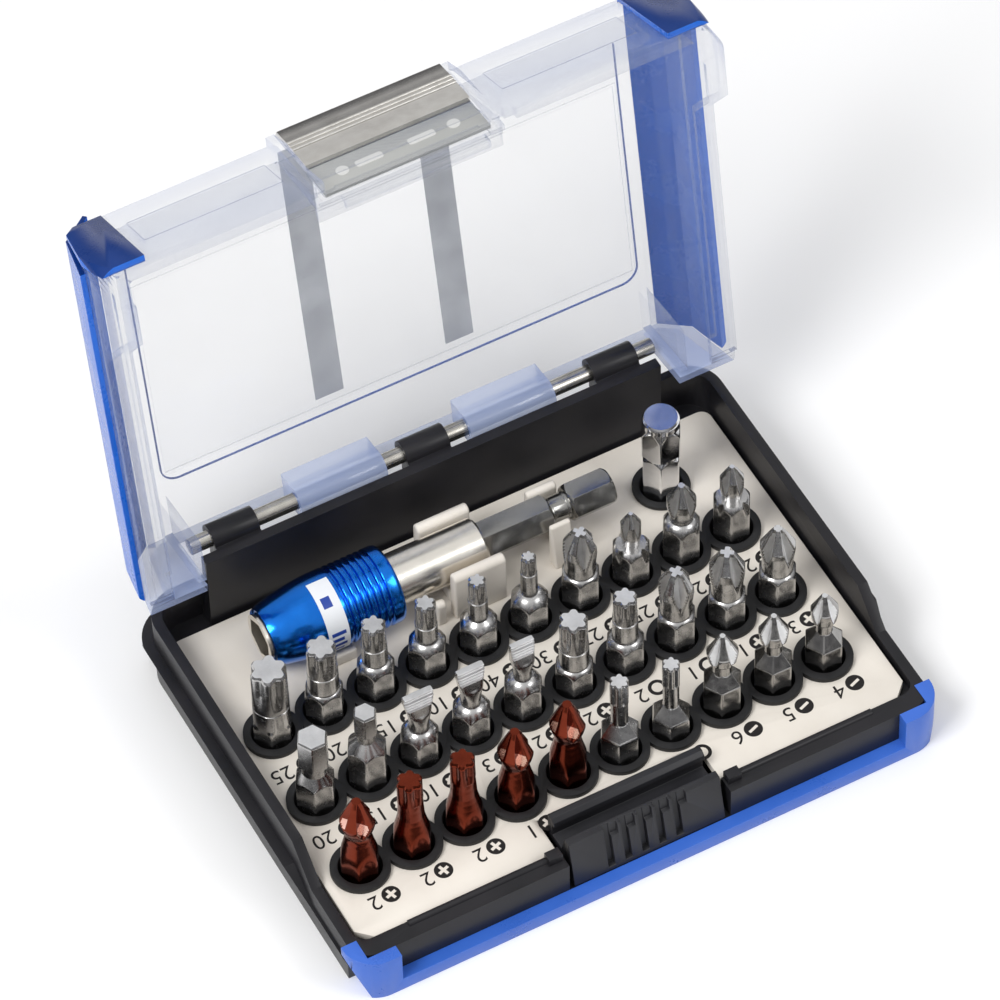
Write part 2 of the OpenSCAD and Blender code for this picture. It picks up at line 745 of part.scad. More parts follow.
module bit_b01() { steel() bit_place(1, 2) star_bit(bit_l(17.8), 3.3, 12, 10); }
module bit_b02() { steel() bit_place(2, 2) star_bit(bit_l(17.6), 2.75, 11.6, 6); }
module bit_b03() { steel() bit_place(3, 2) star_bit(bit_l(17.4), 2.4, 11.6, 6); }
module bit_b04() { steel() bit_place(4, 2) star_bit(bit_l(17), 2.1, 11.6, 5); }
module bit_b05() { steel() bit_place(5, 2) star_bit(bit_l(16.9), 1.9, 11.6, 5); }
module bit_b06() { steel() bit_place(6, 2) star_bit(bit_l(17.2), 1.5, 11.6, 4); }
module bit_b07() { steel() bit_place(7, 2) cross_bit(bit_l(17.6), 2.9, 12.5, 1.2); }
module bit_b08() { steel() bit_place(8, 2) cross_bit(bit_l(16.4), 1.7, 10.5, 0.5); }
module bit_b09() { steel() bit_place(9, 2) cross_bit(bit_l(18), 2.5, 12.5, 0.8); }
module bit_b10() { steel() bit_place(10, 2) cross_bit(bit_l(17), 2, 10.5, 0.6); }
module bit_m01() { steel() bit_place(1, 1) hex_key_bit(bit_l(17.6), 4.9); }
module bit_m02() { steel() bit_place(2, 1) hex_key_bit(bit_l(18), 3.4); }
module bit_m03() { steel() bit_place(3, 1) slot_bit(bit_l(16.6), 5.4, 0.8); }
module bit_m04() { steel() bit_place(4, 1) slot_bit(bit_l(17.2), 5, 0.8); }
module bit_m05() { steel() bit_place(5, 1) slot_bit(bit_l(18), 3.6, 0.8); }
module bit_m06() { steel() bit_place(6, 1) star_bit(bit_l(17.6), 2.7, 12, 6); }
module bit_m07() { steel() bit_place(7, 1) star_bit(bit_l(17.7), 2.3, 11.6, 6); }
module bit_m08() { steel() bit_place(8, 1) cross_bit(bit_l(18.3), 2.9, 12.5, 1.2); }
module bit_m09() { steel() bit_place(9, 1) cross_bit(bit_l(17.3), 3, 12.5, 1.2); }
module bit_m10() { steel() bit_place(10, 1) cross_bit(bit_l(17.6), 3, 12.5, 0.9); }
module bit_f01() { copper() bit_place(1, 0) waist_cross_bit(bit_l(18.6), 2.9); }
module bit_f02() { copper() bit_place(2, 0) waist_star_bit(bit_l(17.9), 2.4); }
module bit_f03() { copper() bit_place(3, 0) waist_star_bit(bit_l(17.3), 2.1); }
module bit_f04() { copper() bit_place(4, 0) waist_cross_bit(bit_l(18.1), 2.9); }
module bit_f05() { copper() bit_place(5, 0) waist_cross_bit(bit_l(19.2), 2.9); }
module bit_f06() { steel() bit_place(6, 0) star_bit(bit_l(19), 1.7, 14, 5); }
module bit_f07() { steel() bit_place(7, 0) star_bit(bit_l(17.3), 1.5, 14, 5); }
module bit_f08() { steel() bit_place(8, 0) cross_bit(bit_l(18.7), 2.4, 10.5, 0.6); }
module bit_f09() { steel() bit_place(9, 0) cross_bit(bit_l(17.8), 2.3, 10.5, 0.6); }
module bit_f10() { steel() bit_place(10, 0) cross_bit(bit_l(17), 2, 10.5, 0.5); }

// ---------------------------------------------------------------- assembly

base_shell();
front_bumper();
bit_tray();
holder_clips();
socket_strip_back();
socket_strip_middle();
socket_strip_front();
adapter_collar();
hinge_rod();
release_catch();
catch_spring();
lid_shell();
lid_bumper_left();
lid_bumper_right();
latch_plate();
latch_insert();
lid_bands();
holder_body();
holder_shank();
holder_sleeve();
sleeve_label();
retaining_ring();
sleeve_spring();
lock_balls();
holder_magnet();
square_adapter();
bit_b01();
bit_b02();
bit_b03();
bit_b04();
bit_b05();
bit_b06();
bit_b07();
bit_b08();
bit_b09();
bit_b10();
bit_m01();
bit_m02();
bit_m03();
bit_m04();
bit_m05();
bit_m06();
bit_m07();
bit_m08();
bit_m09();
bit_m10();
bit_f01();
bit_f02();
bit_f03();
bit_f04();
bit_f05();
bit_f06();
bit_f07();
bit_f08();
bit_f09();
bit_f10();
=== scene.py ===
import json
import math

import bmesh
import bpy
from mathutils import Matrix, Vector


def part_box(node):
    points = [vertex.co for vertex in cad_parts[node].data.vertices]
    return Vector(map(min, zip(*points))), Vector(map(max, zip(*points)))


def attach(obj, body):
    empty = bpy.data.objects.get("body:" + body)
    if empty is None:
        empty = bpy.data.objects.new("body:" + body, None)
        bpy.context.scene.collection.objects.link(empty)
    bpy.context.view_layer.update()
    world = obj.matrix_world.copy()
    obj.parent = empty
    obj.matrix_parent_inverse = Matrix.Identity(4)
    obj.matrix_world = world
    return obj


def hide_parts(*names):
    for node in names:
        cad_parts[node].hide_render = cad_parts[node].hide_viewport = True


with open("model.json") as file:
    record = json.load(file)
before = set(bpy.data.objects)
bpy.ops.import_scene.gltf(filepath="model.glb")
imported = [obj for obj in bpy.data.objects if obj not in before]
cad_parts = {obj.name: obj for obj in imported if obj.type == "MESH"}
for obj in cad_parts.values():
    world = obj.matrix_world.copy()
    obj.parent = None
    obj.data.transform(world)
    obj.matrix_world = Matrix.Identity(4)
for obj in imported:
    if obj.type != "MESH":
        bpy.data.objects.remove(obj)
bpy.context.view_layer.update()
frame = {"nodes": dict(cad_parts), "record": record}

MM = 0.001
GROUPS = frame["record"]["behaviour"]["bodies"]
BODY_OF = {node: body for body, nodes in GROUPS.items() for node in nodes}


# ------------------------------------------------------------------ node trees

class Value:
    """The output of a node, which can be used in sums."""

    def __init__(self, tree, out):
        self.tree = tree
        self.out = out

    def maths(self, how, a, b):
        return self.tree.node("ShaderNodeMath", {"operation": how}, {0: a, 1: b})

    def __add__(self, other):
        return self.maths("ADD", self, other)

    def __mul__(self, other):
        return self.maths("MULTIPLY", self, other)

    def __pow__(self, other):
        return self.maths("POWER", self, other)


class Tree:
    """A node tree that is being built."""

    def __init__(self, tree):
        self.tree = tree

    def node(self, kind, settings=None, inputs=None, output=0):
        made = self.tree.nodes.new(kind)
        for key, value in (settings or {}).items():
            if key == "stops":
                ramp = made.color_ramp.elements
                while len(ramp) < len(value):
                    ramp.new(0.5)
                for stop, (place, colour) in zip(ramp, value):
                    stop.position = place
                    stop.color = colour
            else:
                setattr(made, key, value)
        for key, value in (inputs or {}).items():
            self.put(made.inputs[key], value)
        return Value(self, made.outputs[output])

    def put(self, socket, value):
        if isinstance(value, Value):
            self.tree.links.new(value.out, socket)
        else:
            socket.default_value = value


class Finish(Tree):
    """A material that is being built, with its main shader."""

    def __init__(self, name, **constants):
        self.material = bpy.data.materials.new(name)
        self.material.use_nodes = True
        super().__init__(self.material.node_tree)
        self.shader = self.tree.nodes["Principled BSDF"]
        for socket, value in constants.items():
            self.shader.inputs[socket.replace("_", " ")].default_value = value

    def set(self, socket, value):
        self.put(self.shader.inputs[socket], value)
        return self

    def place(self, scale=(1, 1, 1)):
        point = self.node("ShaderNodeTexCoord", output="Object")
        return self.node("ShaderNodeMapping", None, {"Vector": point, "Scale": scale})

    def noise(self, size_mm, detail=3.0, rough=0.5, stretch=(1, 1, 1)):
        """Cloudy variation from 0 to 1, with clouds about size_mm across."""
        return self.node("ShaderNodeTexNoise", None,
                         {"Vector": self.place(stretch), "Scale": 1 / (size_mm * MM),
                          "Detail": detail, "Roughness": rough})

    def spread(self, value, low, high, to_low=0.0, to_high=1.0):
        return self.node("ShaderNodeMapRange", {"clamp": True},
                         {0: value, 1: low, 2: high, 3: to_low, 4: to_high})

    def tint(self, mask, low, high):
        """A colour between two, as the mask goes from 0 to 1."""
        return self.node("ShaderNodeMix", {"data_type": "RGBA"},
                         {"Factor": mask, 6: (*low, 1), 7: (*high, 1)}, output=2)

    def grazing(self):
        """0 where a surface is seen square on, 1 where it is seen along its face."""
        return self.node("ShaderNodeLayerWeight", None, {"Blend": 0.5}, output="Facing")

    def bumps(self, height, depth_mm):
        normal = self.node("ShaderNodeBump", None,
                           {"Strength": 1.0, "Distance": depth_mm * MM, "Height": height})
        return self.set("Normal", normal)


def moulded(name, dark, light, rough, grain_mm=0.35, depth=0.006, **constants):
    """Moulded plastic: a fine spark-eroded grain and slightly uneven gloss."""
    finish = Finish(name, **constants)
    cloud = finish.noise(9, 4)
    grain = finish.noise(grain_mm, 2)
    finish.set("Base Color", finish.tint(finish.spread(cloud, 0.3, 0.7), dark, light))
    finish.set("Roughness", finish.spread(cloud + grain * 0.3, 0.4, 0.9, rough - 0.05, rough + 0.07))
    finish.bumps(grain, depth)
    return finish.material


def metal(name, dark, light, rough_low, rough_high, grain_mm=1.2, stretch=(1, 1, 1), depth=0.0012,
          **constants):
    """Bare metal with cloudy tone, and fine marks left by tools and handling."""
    finish = Finish(name, Metallic=1.0, **constants)
    cloud = finish.noise(3.4, 3)
    marks = finish.noise(grain_mm, 3, 0.55, stretch)
    finish.set("Base Color", finish.tint(finish.spread(cloud + marks * 0.25, 0.4, 0.85), dark, light))
    finish.set("Roughness", finish.spread(marks, 0.3, 0.7, rough_low, rough_high))
    finish.bumps(marks, depth)
    return finish.material


def clear_plastic(name, square_on, along, seen, edge, rough, **constants):
    """Clear polycarbonate: nearly unseen square on, bluish and denser along its faces."""
    finish = Finish(name, **constants)
    steep = finish.grazing()
    haze = finish.noise(14, 3)
    finish.set("Base Color", finish.tint(finish.spread(steep, 0.35, 0.95), square_on, along))
    finish.set("Alpha", finish.spread(steep ** 3.0 + haze * 0.06, 0.03, 0.95, seen, edge))
    finish.set("Roughness", finish.spread(haze, 0.3, 0.8, rough, rough + 0.04))
    return finish.material


black = moulded("case_black", (0.010, 0.010, 0.012), (0.017, 0.016, 0.019), 0.36, Specular_IOR_Level=0.32)
catch_black = moulded("catch_black", (0.014, 0.014, 0.017), (0.022, 0.022, 0.026), 0.42, 0.25,
                      Specular_IOR_Level=0.42)
rubber = moulded("socket_rubber", (0.011, 0.011, 0.012), (0.019, 0.019, 0.02), 0.55, 0.3, 0.012,
                 Specular_IOR_Level=0.35)
cream = moulded("tray_cream", (0.76, 0.705, 0.63), (0.81, 0.76, 0.685), 0.5, 0.4, Specular_IOR_Level=0.35)
blue = moulded("case_blue", (0.035, 0.13, 0.56), (0.045, 0.155, 0.63), 0.3, 0.6, 0.004)
lid_blue = moulded("lid_blue", (0.001, 0.11, 0.58), (0.002, 0.13, 0.64), 0.26, 0.6, 0.004)
guard_navy = moulded("guard_navy", (0.004, 0.03, 0.17), (0.006, 0.038, 0.2), 0.28, 0.6, 0.004,
                     Specular_IOR_Level=0.3)
ink = moulded("print_black", (0.015, 0.013, 0.013), (0.022, 0.02, 0.02), 0.5, Specular_IOR_Level=0.2)
white_print = moulded("label_white", (0.78, 0.8, 0.83), (0.84, 0.86, 0.88), 0.35)
label_blue = moulded("label_blue", (0.01, 0.045, 0.3), (0.014, 0.06, 0.36), 0.35)
bit_steel = metal("bit_steel", (0.4, 0.395, 0.39), (0.54, 0.535, 0.53), 0.2, 0.29)
bit_dark = metal("bit_dark", (0.3, 0.295, 0.285), (0.42, 0.41, 0.4), 0.14, 0.25)
bit_face = metal("bit_face", (0.7, 0.7, 0.7), (0.9, 0.9, 0.9), 0.3, 0.42, 0.4, depth=0.01)
copper = metal("bit_copper", (0.14, 0.024, 0.012), (0.2, 0.036, 0.018), 0.17, 0.23, 3.0)
copper_face = metal("bit_copper_face", (0.75, 0.42, 0.34), (0.9, 0.6, 0.5), 0.2, 0.3)
chrome = metal("adapter_chrome", (0.7, 0.7, 0.71), (0.85, 0.85, 0.86), 0.08, 0.16)
turned = metal("body_steel", (0.8, 0.76, 0.69), (0.88, 0.84, 0.77), 0.2, 0.27, 2.5, (1.5, 0.2, 0.2), 0.0003)
rod_steel = metal("rod_steel", (0.42, 0.4, 0.36), (0.62, 0.6, 0.55), 0.22, 0.34, 0.6, (0.15, 4, 4))
plate_steel = metal("latch_steel", (0.66, 0.64, 0.6), (0.78, 0.76, 0.72), 0.12, 0.2, 0.5, (0.06, 3, 3))
shank_steel = metal("shank_steel", (0.3, 0.295, 0.28), (0.36, 0.355, 0.34), 0.2, 0.26, 4.0)
spring_steel = metal("spring_steel", (0.4, 0.4, 0.4), (0.6, 0.6, 0.6), 0.2, 0.35)
anodised = metal("sleeve_blue", (0.004, 0.17, 0.72), (0.01, 0.22, 0.85), 0.15, 0.22, 0.6, (0.3, 3, 3),
                 Coat_Weight=0.3)
magnet_grey = metal("magnet", (0.2, 0.2, 0.2), (0.32, 0.32, 0.32), 0.3, 0.45)
clear = clear_plastic("lid_clear", (0.5, 0.52, 0.56), (0.08, 0.2, 0.6), 0.09, 0.55, 0.05,
                      Coat_Weight=0.2)
# painted shade: dark blue-grey on the lid's rounded edges, standing in for the dark refraction lines along
# its rails
edge_painted_shade = clear_plastic("lid_edge_painted_shade", (0.1, 0.15, 0.33), (0.06, 0.14, 0.45), 0.5, 0.9, 0.08)
knuckle_clear = clear_plastic("lid_knuckles", (0.42, 0.5, 0.72), (0.2, 0.32, 0.7), 0.55, 0.85, 0.08,
                              Coat_Weight=0.5)
window_line = clear_plastic("window_line", (0.03, 0.1, 0.42), (0.03, 0.1, 0.42), 0.62, 0.8, 0.2)
frosted = clear_plastic("latch_frosted", (0.46, 0.465, 0.45), (0.5, 0.51, 0.5), 0.88, 0.95, 0.4)
frost_light = clear_plastic("latch_light", (0.8, 0.8, 0.78), (0.8, 0.8, 0.78), 0.75, 0.9, 0.35)
band_grey = moulded("band_grey", (0.46, 0.48, 0.52), (0.66, 0.68, 0.72), 0.45, 0.3, 0.01, Alpha=0.72)


# ---------------------------------------------------------------- mesh helpers

def add_piece(name, mesh, body, finish, *nodes, smooth=0.6):
    """Makes an object of a mesh, gives it its finish and body, and hides the nodes it stands for."""
    mesh.name = name
    mesh.set_sharp_from_angle(angle=smooth)
    piece = bpy.data.objects.new(name, mesh)
    bpy.context.scene.collection.objects.link(piece)
    if finish:
        mesh.materials.clear()
        mesh.materials.append(finish)
    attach(piece, body)
    if nodes:
        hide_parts(*nodes)
    return piece


def settled(piece):
    """Applies a piece's modifiers, and gives the plain mesh."""
    bpy.context.view_layer.update()
    seen = piece.evaluated_get(bpy.context.evaluated_depsgraph_get())
    mesh = bpy.data.meshes.new_from_object(seen)
    bpy.data.objects.remove(piece)
    return mesh


def mesh_of(work):
    mesh = bpy.data.meshes.new("made")
    for face in work.faces:
        face.smooth = True
    work.to_mesh(mesh)
    work.free()
    return mesh


def softened(node, width_mm, segments=2, angle=0.5, edge_slot=-1):
    """A merged copy of a CAD node's mesh with its edges rounded, with their own material if asked."""
    work = bmesh.new()
    work.from_mesh(bpy.data.objects[frame["nodes"][node].name].data)
    bmesh.ops.remove_doubles(work, verts=work.verts, dist=1e-6)
    bmesh.ops.dissolve_limit(work, angle_limit=0.01, verts=work.verts, edges=work.edges)
    mesh = mesh_of(work)
    mesh.materials.clear()
    piece = bpy.data.objects.new("work", mesh)
    bpy.context.scene.collection.objects.link(piece)
    bevel = piece.modifiers.new("edges", "BEVEL")
    bevel.width = width_mm * MM
    bevel.segments = segments
    bevel.limit_method = "ANGLE"
    bevel.angle_limit = angle
    bevel.miter_outer = "MITER_ARC"
    bevel.harden_normals = True
    if edge_slot >= 0:
        mesh.materials.append(None)
        mesh.materials.append(None)
        bevel.material = edge_slot
    return settled(piece)


def softened_piece(node, finish, width_mm, segments=2, angle=0.5):
    mesh = softened(node, width_mm, segments, angle)
    return add_piece(node + "_look", mesh, BODY_OF[node], finish, node, smooth=0.7)


def join_meshes(meshes):
    work = bmesh.new()
    for mesh in meshes:
        work.from_mesh(mesh)
    return mesh_of(work)


def tube(sections, spokes, place):
    """A closed solid through rings of points; each section is (height, radius for an angle)."""
    work = bmesh.new()
    turns = [2 * math.pi * i / spokes for i in range(spokes)]
    rings = []
    for height, reach in sections:
        rings.append([work.verts.new(place @ Vector((reach(a) * math.cos(a), reach(a) * math.sin(a), height)))
                      for a in turns])
    for low, high in zip(rings, rings[1:]):
        for i in range(spokes):
            j = (i + 1) % spokes
            work.faces.new((low[i], low[j], high[j], high[i]))
    for ring, (height, _), flip in ((rings[0], sections[0], True), (rings[-1], sections[-1], False)):
        middle = work.verts.new(place @ Vector((0, 0, height)))
        for i in range(spokes):
            j = (i + 1) % spokes
            corners = (ring[j], ring[i], middle) if flip else (ring[i], ring[j], middle)
            work.faces.new(corners)
    return work


def ring_solid(outline, place, spokes):
    """A ring whose cross-section is a closed outline of (height, radius) points in mm."""
    work = bmesh.new()
    rings = []
    for i in range(spokes):
        a = 2 * math.pi * i / spokes
        rings.append([work.verts.new(place @ Vector((r * MM * math.cos(a), r * MM * math.sin(a), z * MM)))
                      for z, r in outline])
    count = len(outline)
    for i in range(spokes):
        here, there = rings[i], rings[(i + 1) % spokes]
        for k in range(count):
            n = (k + 1) % count
            work.faces.new((here[k], there[k], there[n], here[n]))
    bmesh.ops.recalc_face_normals(work, faces=work.faces)
    return mesh_of(work)


# ------------------------------------------------------------------------ bits

HEX_ACROSS = 6.35
FOOT_RADIUS, FOOT_SLOPE = 3.0, 0.9


def hexagon(across):
    """Radius of a hexagon with slightly broken corners, one corner towards angle 0."""
    half = across / 2

    def reach(a):
        off = (a % (math.pi / 3)) - math.pi / 6
        return min(half / math.cos(off), half * 1.14)
    return reach


def hexagon_stock(length):
    """Radius of the hexagon stock by angle and depth, with a chamfer at its lower end."""
    body = hexagon(HEX_ACROSS)

    def reach(a, depth):
        return min(body(a), FOOT_RADIUS + (length - depth) * FOOT_SLOPE)
    return reach


def softer(a, b, blend):
    """The smaller of two sizes, rounded where they meet."""
    h = max(blend - abs(a - b), 0) / blend
    return min(a, b) - h * h * blend / 4


def line(points, x):
    """Height at x of the line through points; level after its last point."""
    for (x0, y0), (x1, y1) in zip(points, points[1:]):
        if x <= x1:
            t = max(0.0, (x - x0) / max(x1 - x0, 1e-6))
            return y0 + (y1 - y0) * t
    return points[-1][1]


SPOKES = 120


def bit_solid(length, shape, fine):
    """Samples a bit's radius, shape(angle, depth below the tip), densely near its tip."""
    depths = []
    depth = 0.0
    while depth < length:
        depths.append(depth)
        depth += 0.15 if depth < fine else 0.4
    depths.append(length)
    return [((length - d) * MM, lambda a, d=d: max(0.05, shape(a, d)) * MM) for d in reversed(depths)]


def blank(length, outline):
    """The turned hexagon blank that every bit is cut from; outline gives its radius by depth."""
    stock = hexagon_stock(length)

    def reach(a, depth):
        return softer(stock(a, depth), line(outline, depth), 0.12)
    return reach


def star_head(radius, depth_of_lobe, run, chamfer=0.5):
    """Six lobes that run out below the tip."""
    def reach(a, depth):
        wave = 0.5 - 0.5 * math.cos(6 * a)
        wave = wave ** 1.35
        fade = line([(0, 1), (run * 0.5, 1), (run, 0)], depth)
        edge = max(0.0, chamfer - depth)
        return radius * (1 - depth_of_lobe * wave * fade) - edge * 0.75
    return reach


def star_bit(length, radius, neck, outline, run=7.0):
    stock = blank(length, outline)
    head = star_head(radius, 0.22, run)

    def shape(a, depth):
        if depth < run + 0.2:
            return min(stock(a, depth), head(a, depth)) if depth < run else softer(stock(a, depth), neck, 0.2)
        return stock(a, depth)
    return shape


def cross_bit(length, outline, point, arm, spread_out, ribs=0.0, turn=0.4, slope=28):
    """Four tapered arms; the flutes between them run out as the arms thicken."""
    stock = blank(length, outline)

    def shape(a, depth):
        outer = min(stock(a, depth),
                    point + depth * math.tan(math.radians(slope)) + 0.12 * min(depth, 1))
        off = abs(((a + turn) % (math.pi / 2)) - math.pi / 4)
        off = math.pi / 4 - off
        half = arm + spread_out * depth ** 1.25
        inner = half / max(math.sin(off), 0.02)
        rib = 0.0
        if ribs and depth < 6.5:
            rib = ribs * max(0.0, 1 - abs(off - math.pi / 4) / 0.16) * min(1, depth)
        return softer(outer, inner + rib, 0.16)

    def outer_wall(a, depth):
        if depth > 7.5:
            return 0
        return min(stock(a, depth), point + depth * math.tan(math.radians(slope)))
    shape.outer = outer_wall
    return shape


def slot_bit(length, width, thick, outline):
    """A flat blade that fans out above a round neck."""
    stock = blank(length, outline)

    def shape(a, depth):
        plain = stock(a, depth)
        if depth > 8.2:
            return plain
        wide = line([(0, width / 2 - 0.1), (0.15, width / 2), (1.6, width / 2), (5.2, 1.95),
                     (8.2, 1.65)], depth)
        deep = line([(0, thick / 2), (3.2, thick / 2 + 0.35), (5.6, 1.45), (8.2, 1.65)], depth)
        if depth < 3.4:
            deep += 0.13 * math.sin(depth * 2 * math.pi / 0.7)
        flat = 1 / ((abs(math.cos(a)) / wide) ** 8 + (abs(math.sin(a)) / deep) ** 8) ** 0.125
        fade = line([(5.0, 0), (7.8, 1)], depth)
        return flat * (1 - fade) + plain * fade
    shape.blade = 3.3
    return shape


def key_bit(length, across, drop, waist):
    """A smaller hexagon above a turned waist."""
    stock = blank(length, [(0, 9), (drop, 9), (drop + 0.01, waist), (drop + 1.9, waist), (drop + 4.4, 3.75),
                           (length, 3.75)])
    head = hexagon(across)

    def shape(a, depth):
        if depth < drop:
            top = head(a) - max(0.0, 0.35 - depth) * 0.8
            foot = waist + (drop - depth) * 1.6
            return min(top, foot)
        return stock(a, depth)
    return shape


def waist_bit(length, top, head):
    """A slender bit that flares smoothly from a waist to its hexagon."""
    stock = hexagon_stock(length)

    def shape(a, depth):
        if depth < top:
            return head(a, depth)
        flare = line([(top, 2.2), (9.4, 2.32), (10.6, 2.5), (12.0, 2.8), (13.4, 3.15), (14.8, 3.5),
                      (16.0, 3.75), (length, 3.75)], depth)
        merge = softer(flare, stock(a, depth), 0.35)
        if depth < top + 1.2:
            t = (depth - top) / 1.2
            return head(a, depth) * (1 - t) + merge * t
        return merge
    return shape


def shouldered(run, neck, neck_end, shoulder_end):
    """Outline of a neck that swells into a ball-like shoulder over the hexagon."""
    points = [(0, neck + 3), (run, neck + 3), (run + 0.01, neck), (neck_end, neck)]
    steps = 10
    for i in range(1, steps + 1):
        t = i / steps
        r = neck + (3.78 - neck) * math.sin(t * math.pi / 2) ** 0.75
        points.append((neck_end + (shoulder_end - neck_end) * (t ** 1.15), r))
    return points + [(40, 3.78)]


def plain_star(length, radius, run, neck_end, shoulder_end):
    """A star head on a round neck, over a ball-like shoulder."""
    neck = radius * 0.93
    outline = shouldered(0.0, neck * 1.02 + 0.12, neck_end, shoulder_end)
    return star_bit(length, radius, neck, outline, run)


def plain_cross(length, radius, neck, point, arm, grow, neck_end, shoulder_end, ribs=0.0, turn=0.4):
    outline = [(0, radius), (5.4, radius), (8.2, neck), (neck_end, neck)]
    outline += shouldered(0, neck, neck_end, shoulder_end)[4:]
    return cross_bit(length, outline, point, arm, grow, ribs, turn)


def cone_shoulder(length, head, top, neck, cone_top, cone_end):
    """A straight neck on a hexagonal pyramid shoulder."""
    body = hexagon(HEX_ACROSS)
    stock = hexagon_stock(length)

    def shape(a, depth):
        if depth < top:
            return head(a, depth)
        if depth < cone_top:
            t = min(1, (depth - top) / 0.35)
            return head(a, depth) * (1 - t) + neck * t
        share = min(1, (depth - cone_top) / (cone_end - cone_top))
        return min(max(neck, body(a) * (neck / 3.3 + (1 - neck / 3.3) * share)), stock(a, depth))
    return shape


def slim_cross(length, radius, neck):
    """Bulb-shaped cross head on a straight neck."""
    flutes = cross_bit(length, [(0, radius), (4.6, radius), (6.4, radius * 0.9), (7.2, neck), (40, neck)],
                       0.5, 0.32, 0.105)
    shape = cone_shoulder(length, flutes, 7.2, neck, 9.6, 12.2)
    shape.outer = flutes.outer
    return shape


def slim_star(length, radius, run=5.2):
    head = star_head(radius, 0.24, run + 4, 0.3)
    return cone_shoulder(length, head, run, radius * 0.86, 11.0, 13.8)


def waist_star(length, radius):
    head = star_head(radius, 0.2, 6.4)

    def capped(a, depth):
        return head(a, depth) if depth < 5.4 else softer(head(a, depth), 2.25, 0.3)
    return waist_bit(length, 6.4, capped)


def waist_cross(length, radius):
    head = cross_bit(length, [(0, radius), (6.0, radius), (7.0, radius * 0.93), (8.6, 2.25), (40, 2.25)],
                     0.8, 0.5, 0.075, 0.0, 0.9, 22)
    shape = waist_bit(length, 8.6, head)
    shape.outer = lambda a, depth: head.outer(a, depth) if 4.6 < depth < 7.2 else 0
    return shape


STEEL = (bit_steel, bit_face)
DARK = (bit_dark, bit_face)
COPPER = (copper, copper_face)
BITS = {
    "bit_b01": (STEEL, lambda l: plain_star(l, 3.32, 9.5, 14.0, 15.1)),
    "bit_b02": (STEEL, lambda l: plain_star(l, 2.75, 6.5, 10.9, 13.7)),
    "bit_b03": (STEEL, lambda l: plain_star(l, 2.25, 5.5, 9.9, 13.4)),
    "bit_b04": (STEEL, lambda l: plain_star(l, 1.95, 5.5, 9.7, 12.9)),
    "bit_b05": (STEEL, lambda l: plain_star(l, 1.7, 5.0, 10.1, 13.3)),
    "bit_b06": (STEEL, lambda l: plain_star(l, 1.45, 4.0, 9.9, 13.3)),
    "bit_b07": (STEEL, lambda l: plain_cross(l, 3.0, 2.75, 1.15, 0.42, 0.1, 10.5, 12.5, 0.1, 1.0)),
    "bit_b08": (STEEL, lambda l: plain_cross(l, 1.8, 1.5, 0.4, 0.22, 0.1, 7.6, 10.6)),
    "bit_b09": (STEEL, lambda l: plain_cross(l, 2.6, 2.1, 0.6, 0.32, 0.1, 9.0, 12.2)),
    "bit_b10": (STEEL, lambda l: plain_cross(l, 2.1, 1.75, 0.45, 0.26, 0.1, 7.6, 10.6)),
    "bit_m01": (STEEL, lambda l: key_bit(l, 4.9, 7.4, 2.2)),
    "bit_m02": (STEEL, lambda l: key_bit(l, 3.7, 5.6, 1.6)),
    "bit_m03": (STEEL, lambda l: slot_bit(l, 5.6, 1.0, shouldered(0, 1.75, 9.4, 13.0))),
    "bit_m04": (STEEL, lambda l: slot_bit(l, 5.2, 1.0, shouldered(0, 1.75, 9.6, 13.2))),
    "bit_m05": (STEEL, lambda l: slot_bit(l, 4.5, 0.9, shouldered(0, 1.6, 9.6, 13.4))),
    "bit_m06": (STEEL, lambda l: plain_star(l, 2.65, 7.0, 11.7, 14.1)),
    "bit_m07": (STEEL, lambda l: plain_star(l, 2.25, 6.0, 10.9, 13.7)),
    "bit_m08": (STEEL, lambda l: plain_cross(l, 3.1, 2.8, 1.2, 0.45, 0.095, 11, 12.8, 0.1, 1.0)),
    "bit_m09": (STEEL, lambda l: plain_cross(l, 3.1, 2.8, 1.2, 0.45, 0.095, 11, 12.8, 0.1, 0.6)),
    "bit_m10": (STEEL, lambda l: plain_cross(l, 3.1, 2.75, 0.75, 0.4, 0.1, 11, 12.8, 0.0, 0.5)),
    "bit_f01": (COPPER, lambda l: waist_cross(l, 3.05)),
    "bit_f02": (COPPER, lambda l: waist_star(l, 2.35)),
    "bit_f03": (COPPER, lambda l: waist_star(l, 2.3)),
    "bit_f04": (COPPER, lambda l: waist_cross(l, 3.1)),
    "bit_f05": (COPPER, lambda l: waist_cross(l, 3.1)),
    "bit_f06": (STEEL, lambda l: slim_star(l, 1.75)),
    "bit_f07": (STEEL, lambda l: slim_star(l, 1.65)),
    "bit_f08": (DARK, lambda l: slim_cross(l, 2.75, 1.65)),
    "bit_f09": (DARK, lambda l: slim_cross(l, 2.6, 1.5)),
    "bit_f10": (DARK, lambda l: slim_cross(l, 2.4, 1.4)),
}


def bit_piece(node, make, finish, second):
    """Turns a bit's shape into its piece; its end face and flutes take the second finish."""
    low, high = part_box(node)
    middle = Matrix.Translation(((low[0] + high[0]) / 2, (low[1] + high[1]) / 2, low[2]))
    length = (high[2] - low[2]) / MM
    shape = make(length)
    mesh = mesh_of(tube(bit_solid(length, shape, 13.5), SPOKES, middle))
    piece = add_piece(node + "_tool", mesh, BODY_OF[node], finish, node, smooth=0.5)
    piece.data.materials.append(second)
    to_bit = middle.inverted()
    for face in piece.data.polygons:
        spot = to_bit @ face.center / MM
        depth = length - spot.z
        flat = face.normal.z > 0.9 and depth < 0.3 and finish is not copper
        flat = flat or (depth < getattr(shape, "blade", 0) and abs(face.normal.y) > 0.5)
        wall = shape.outer(math.atan2(spot.y, spot.x), depth) if hasattr(shape, "outer") else 0
        if flat or (depth > 0.8 and math.hypot(spot.x, spot.y) < wall * 0.9):
            face.material_index = 1


